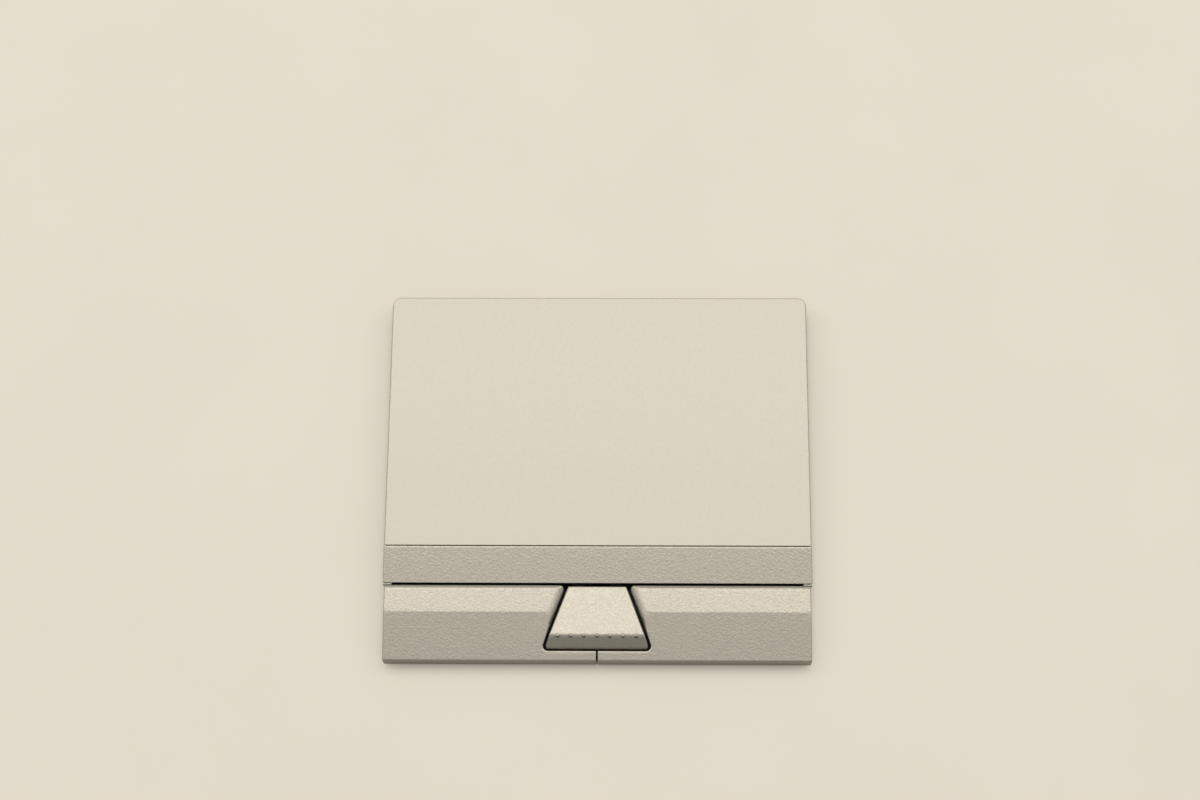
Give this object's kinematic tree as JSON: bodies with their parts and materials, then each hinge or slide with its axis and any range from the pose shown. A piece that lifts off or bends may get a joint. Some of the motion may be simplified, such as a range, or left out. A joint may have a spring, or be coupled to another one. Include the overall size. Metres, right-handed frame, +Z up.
{
  "type": "laptop trackpad module",
  "caption": "Flat silver laptop trackpad module: a click pad with a sloping band, and a row of pointing-stick buttons with a ridged middle button, over a pressed steel tray.",
  "frame": {"origin": "centre of the module's underside", "axes": "+X to the user's right, +Y away from the user towards the keyboard, +Z up out of the touch surface"},
  "size_m": [0.09, 0.0804, 0.006],
  "materials": {
    "touch_coat": "satin silver coating on the touch sheet",
    "silver_paint": "metallic silver paint on moulded plastic, fine grain",
    "coated_steel": "black coated pressed steel sheet",
    "black_moulding": "black moulded nylon",
    "bare_steel": "bare steel",
    "screw_steel": "plated steel screw",
    "bumper_rubber": "soft black rubber",
    "black_film": "black polyester film",
    "circuit_board": "solder-masked glass-fibre board",
    "dome_tape": "black polyester tape",
    "flex_film": "amber polyimide flat cable",
    "adhesive": "clear adhesive sheet",
    "chip_black": "black moulding compound",
    "ceramic": "ceramic chip",
    "socket_ivory": "ivory moulded plastic",
    "latch_black": "black moulded plastic"
  },
  "bodies": {
    "base": {"support_tray": "coated_steel", "insulating_film": "black_film", "mount_insert_1": "bare_steel", "mount_insert_2": "bare_steel", "mount_insert_3": "bare_steel", "mount_insert_4": "bare_steel", "base_screw_1": "screw_steel", "base_screw_2": "screw_steel", "base_screw_3": "screw_steel", "base_screw_4": "screw_steel", "left_bumper": "bumper_rubber", "right_bumper": "bumper_rubber", "button_base": "black_moulding", "hinge_rod": "bare_steel", "button_board": "circuit_board", "dome_tape": "dome_tape", "left_dome": "bare_steel", "middle_dome": "bare_steel", "right_dome": "bare_steel", "board_flex": "flex_film"},
    "click_pad": {"touch_overlay": "touch_coat", "overlay_adhesive": "adhesive", "sensor_board": "circuit_board", "pad_trim": "silver_paint", "pad_frame": "black_moulding", "stiffener_plate": "bare_steel", "touch_controller": "chip_black", "capacitor_1": "ceramic", "capacitor_2": "ceramic", "capacitor_3": "ceramic", "capacitor_4": "ceramic", "host_socket": "socket_ivory", "flex_socket": "socket_ivory", "click_switch": "bare_steel", "click_plunger": "chip_black"},
    "latch": {"socket_latch": "latch_black"},
    "left_button": {"left_cap": "silver_paint", "left_lever": "black_moulding"},
    "middle_button": {"middle_cap": "silver_paint", "middle_lever": "black_moulding"},
    "right_button": {"right_cap": "silver_paint", "right_lever": "black_moulding"}
  },
  "joints": [
    {"name": "pad_press", "type": "hinge", "parent": "base", "child": "click_pad", "pos_m": [0, 0.02, 0.0023], "axis": [1, 0, 0], "range_deg": [0, 0.55], "stiffness_Nm_per_rad": 3, "springref_deg": -0.46, "deforming": ["click_plunger"]},
    {"name": "left_press", "type": "hinge", "parent": "base", "child": "left_button", "pos_m": [-0.023, 0.02, 0.0023], "axis": [-1, 0, 0], "range_deg": [0, 2], "stiffness_Nm_per_rad": 0.25, "springref_deg": -1.15, "deforming": ["left_dome"]},
    {"name": "middle_press", "type": "hinge", "parent": "base", "child": "middle_button", "pos_m": [0, 0.02, 0.0023], "axis": [-1, 0, 0], "range_deg": [0, 2], "stiffness_Nm_per_rad": 0.25, "springref_deg": -1.15, "deforming": ["middle_dome"]},
    {"name": "right_press", "type": "hinge", "parent": "base", "child": "right_button", "pos_m": [0.023, 0.02, 0.0023], "axis": [-1, 0, 0], "range_deg": [0, 2], "stiffness_Nm_per_rad": 0.25, "springref_deg": -1.15, "deforming": ["right_dome"]},
    {"name": "latch_flip", "type": "hinge", "parent": "click_pad", "child": "latch", "pos_m": [0, -0.0021, 0.00305], "axis": [1, 0, 0], "range_deg": [0, 90]}
  ]
}
